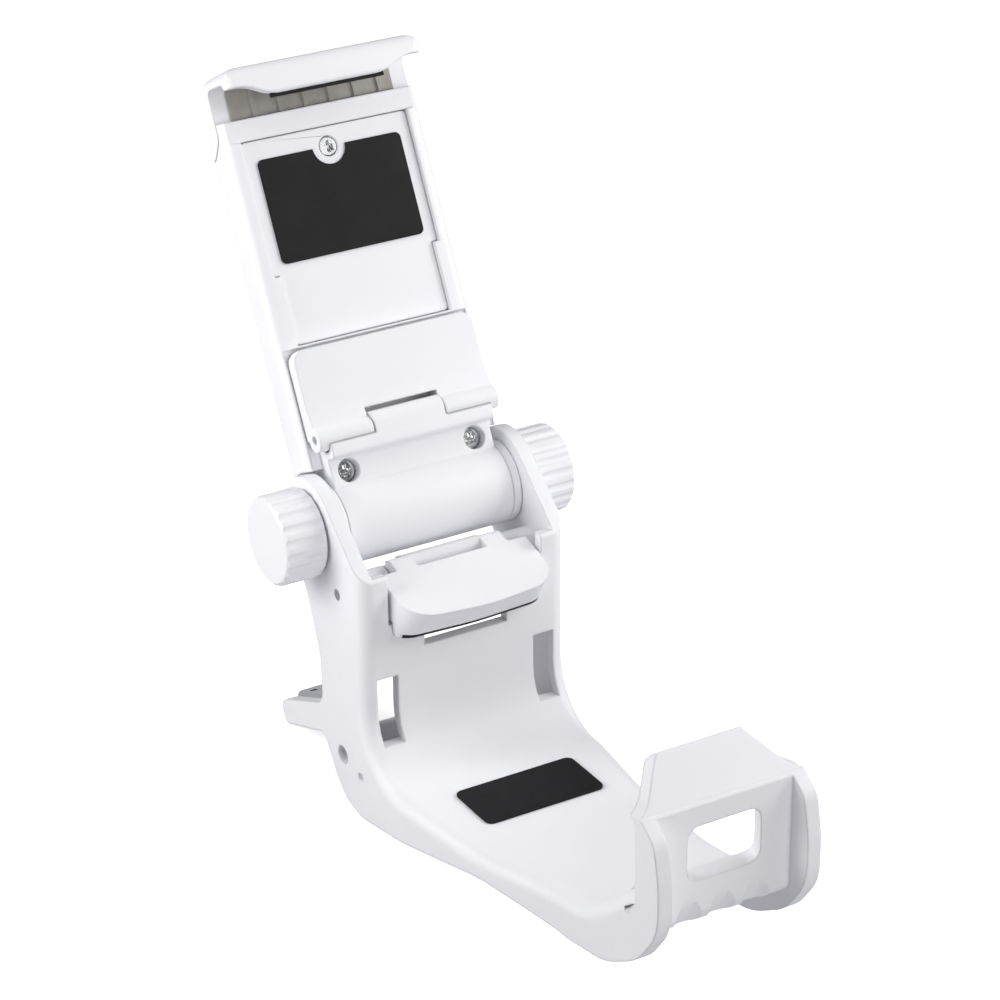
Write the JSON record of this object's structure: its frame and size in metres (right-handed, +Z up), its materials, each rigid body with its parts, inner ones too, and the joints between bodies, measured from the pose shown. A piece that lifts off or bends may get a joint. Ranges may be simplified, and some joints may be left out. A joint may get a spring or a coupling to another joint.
{
  "type": "controller phone clip",
  "caption": "White plastic clip that hooks over a game controller and holds a phone above it, with a tilting cradle, a sliding sprung jaw and a flip-out shelf.",
  "frame": {"origin": "middle of the footprint at floor height, with the clip standing on its heel and its two rear fins", "axes": "+X to the right as seen from the front, -Y toward the front lip, +Z up"},
  "size_m": [0.0636, 0.1736, 0.1238],
  "materials": {
    "white_abs": "satin moulded",
    "black_rubber": "matte",
    "grey_lining": "matte ribbed",
    "steel": "plain turned",
    "spring_steel": "drawn wire",
    "plated_steel": "bright plated",
    "zinc_screw": "zinc plated"
  },
  "bodies": {
    "base": {"base_bracket": "white_abs", "floor_pad": "black_rubber", "latch_pin": "steel", "latch_spring": "spring_steel", "steel_tongue": "plated_steel"},
    "latch": {"latch": "white_abs", "latch_pad": "black_rubber"},
    "cradle": {"hinge_block": "white_abs", "block_screws": "zinc_screw", "cradle_frame": "white_abs", "front_panel": "white_abs", "panel_screw": "zinc_screw", "panel_pad": "black_rubber", "left_washer": "white_abs", "right_washer": "white_abs", "pull_springs": "spring_steel"},
    "jaw": {"top_jaw": "white_abs", "jaw_lining": "grey_lining", "lip_pad": "black_rubber"},
    "shelf": {"shelf": "white_abs", "shelf_pin": "steel"},
    "left_knob": {"left_knob": "white_abs", "tilt_bolt": "steel"},
    "right_knob": {"right_knob": "white_abs", "clamp_nut": "steel"}
  },
  "joints": [
    {"name": "cradle_tilt", "type": "hinge", "parent": "base", "child": "cradle", "pos_m": [0, 0.02978, 0.05014], "axis": [1, 0, 0], "range_deg": [-60, 50]},
    {"name": "jaw_slide", "type": "slide", "parent": "cradle", "child": "jaw", "axis": [0, 0.6276, 0.7785], "range_m": [0, 0.0242], "stiffness_N_per_m": 150, "springref_m": -0.015},
    {"name": "shelf_fold", "type": "hinge", "parent": "cradle", "child": "shelf", "pos_m": [0, 0.03561, 0.06637], "axis": [1, 0, 0], "range_deg": [0, 90]},
    {"name": "latch_pivot", "type": "hinge", "parent": "base", "child": "latch", "pos_m": [0, 0.01753, 0.0434], "axis": [-1, 0, 0], "range_deg": [0, 22], "stiffness_Nm_per_rad": 0.03, "springref_deg": -20.05},
    {"name": "left_knob_turn", "type": "hinge", "parent": "base", "child": "left_knob", "pos_m": [0, 0.02978, 0.05014], "axis": [1, 0, 0], "continuous": true},
    {"name": "right_knob_turn", "type": "hinge", "parent": "base", "child": "right_knob", "pos_m": [0, 0.02978, 0.05014], "axis": [1, 0, 0], "continuous": true}
  ]
}
